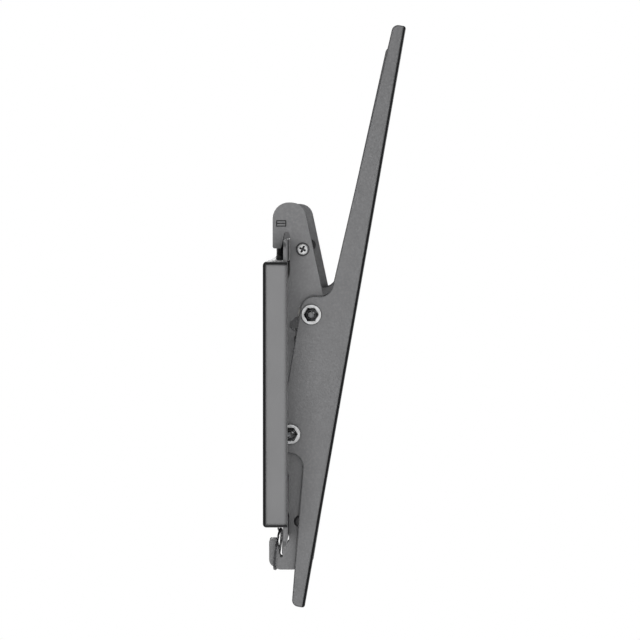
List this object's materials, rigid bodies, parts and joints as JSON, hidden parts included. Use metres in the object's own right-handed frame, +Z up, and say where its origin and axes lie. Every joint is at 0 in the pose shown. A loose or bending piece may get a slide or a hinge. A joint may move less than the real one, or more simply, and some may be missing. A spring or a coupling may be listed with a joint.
{
  "type": "tilting television wall mount",
  "caption": "Low wall plate with two hooked hangers whose upright arms tilt a flat television, with levelling screws and spring latches released by pull rings.",
  "frame": {"origin": "centre of the wall plate's back face, on the wall's surface", "axes": "+Y into the wall, -Y towards the television, X along the wall, +Z up"},
  "size_m": [0.64, 0.1072, 0.4482],
  "materials": {
    "powder_coat": "fine textured dark grey powder coat",
    "cap_plastic": "smooth matte moulding",
    "zinc": "bright zinc plate",
    "black_oxide": "black oxide, semi matte",
    "black_plastic": "matte black moulding",
    "nylon": "natural nylon",
    "insert_nylon": "dark nylon",
    "spring_steel": "spring wire"
  },
  "bodies": {
    "wall_side": {"wall_plate": "powder_coat", "end_cap_left": "cap_plastic", "end_cap_right": "cap_plastic"},
    "foot_left": {"level_foot_left": "black_plastic"},
    "hanger_left": {"hook_plate_outer_left": "powder_coat", "hook_plate_inner_left": "powder_coat", "nut_block_left": "black_oxide", "plate_spacer_left": "zinc", "plate_screws_left": "zinc", "screw_washers_left": "black_oxide", "tip_bridge_left": "powder_coat", "spring_seat_left": "powder_coat", "latch_pin_left": "black_oxide", "latch_spacer_left": "zinc", "latch_spring_left": "spring_steel"},
    "screw_left": {"level_screw_left": "black_oxide"},
    "arm_left": {"tilt_arm_left": "powder_coat", "tilt_bolts_left": "zinc", "slot_sleeves_left": "black_plastic", "friction_washers_left": "nylon", "spacer_washers_left": "zinc", "outer_washers_left": "zinc", "nyloc_nuts_left": "zinc", "nylon_inserts_left": "insert_nylon"},
    "latch_left": {"latch_left": "black_oxide"},
    "ring_left": {"pull_ring_left": "zinc"},
    "foot_right": {"level_foot_right": "black_plastic"},
    "hanger_right": {"hook_plate_outer_right": "powder_coat", "hook_plate_inner_right": "powder_coat", "nut_block_right": "black_oxide", "plate_spacer_right": "zinc", "plate_screws_right": "zinc", "screw_washers_right": "black_oxide", "tip_bridge_right": "powder_coat", "spring_seat_right": "powder_coat", "latch_pin_right": "black_oxide", "latch_spacer_right": "zinc", "latch_spring_right": "spring_steel"},
    "screw_right": {"level_screw_right": "black_oxide"},
    "arm_right": {"tilt_arm_right": "powder_coat", "tilt_bolts_right": "zinc", "slot_sleeves_right": "black_plastic", "friction_washers_right": "nylon", "spacer_washers_right": "zinc", "outer_washers_right": "zinc", "nyloc_nuts_right": "zinc", "nylon_inserts_right": "insert_nylon"},
    "latch_right": {"latch_right": "black_oxide"},
    "ring_right": {"pull_ring_right": "zinc"}
  },
  "joints": [
    {"name": "slide_left", "type": "slide", "parent": "wall_side", "child": "foot_left", "axis": [1, 0, 0], "range_m": [-0.08, 0.15]},
    {"name": "height_left", "type": "slide", "parent": "foot_left", "child": "hanger_left", "axis": [0, 0, 1], "range_m": [-0.005, 0.003]},
    {"name": "level_screw_left_spin", "type": "hinge", "parent": "foot_left", "child": "screw_left", "pos_m": [-0.2, -0.0104, 0.11], "axis": [0, 0, 1], "range_deg": [-1090, 1810]},
    {"name": "tilt_left", "type": "hinge", "parent": "hanger_left", "child": "arm_left", "pos_m": [-0.2, -0.0599, 0.0052], "axis": [1, 0, 0], "range_deg": [-14.9, 2.1]},
    {"name": "latch_left_pull", "type": "slide", "parent": "hanger_left", "child": "latch_left", "axis": [0, 0, 1], "range_m": [-0.009, 0], "stiffness_N_per_m": 400, "springref_m": 0.008, "deforming": ["latch_spring_left"]},
    {"name": "ring_left_swing", "type": "hinge", "parent": "latch_left", "child": "ring_left", "pos_m": [-0.2084, -0.0113, -0.1084], "axis": [1, 0, 0], "range_deg": [-1.5, 5]},
    {"name": "slide_right", "type": "slide", "parent": "wall_side", "child": "foot_right", "axis": [1, 0, 0], "range_m": [-0.15, 0.08]},
    {"name": "height_right", "type": "slide", "parent": "foot_right", "child": "hanger_right", "axis": [0, 0, 1], "range_m": [-0.005, 0.003]},
    {"name": "level_screw_right_spin", "type": "hinge", "parent": "foot_right", "child": "screw_right", "pos_m": [0.2, -0.0104, 0.11], "axis": [0, 0, 1], "range_deg": [-1090, 1810]},
    {"name": "tilt_right", "type": "hinge", "parent": "hanger_right", "child": "arm_right", "pos_m": [0.2, -0.0599, 0.0052], "axis": [1, 0, 0], "range_deg": [-14.4, 2.6]},
    {"name": "latch_right_pull", "type": "slide", "parent": "hanger_right", "child": "latch_right", "axis": [0, 0, 1], "range_m": [-0.009, 0], "stiffness_N_per_m": 400, "springref_m": 0.008, "deforming": ["latch_spring_right"]},
    {"name": "ring_right_swing", "type": "hinge", "parent": "latch_right", "child": "ring_right", "pos_m": [0.2084, -0.0113, -0.1084], "axis": [1, 0, 0], "range_deg": [-1.5, 5]}
  ],
  "couplings": [
    {"joint": "level_screw_left_spin", "follows": "height_left", "rad_per_m": -6283.2},
    {"joint": "level_screw_right_spin", "follows": "height_right", "rad_per_m": -6283.2}
  ]
}
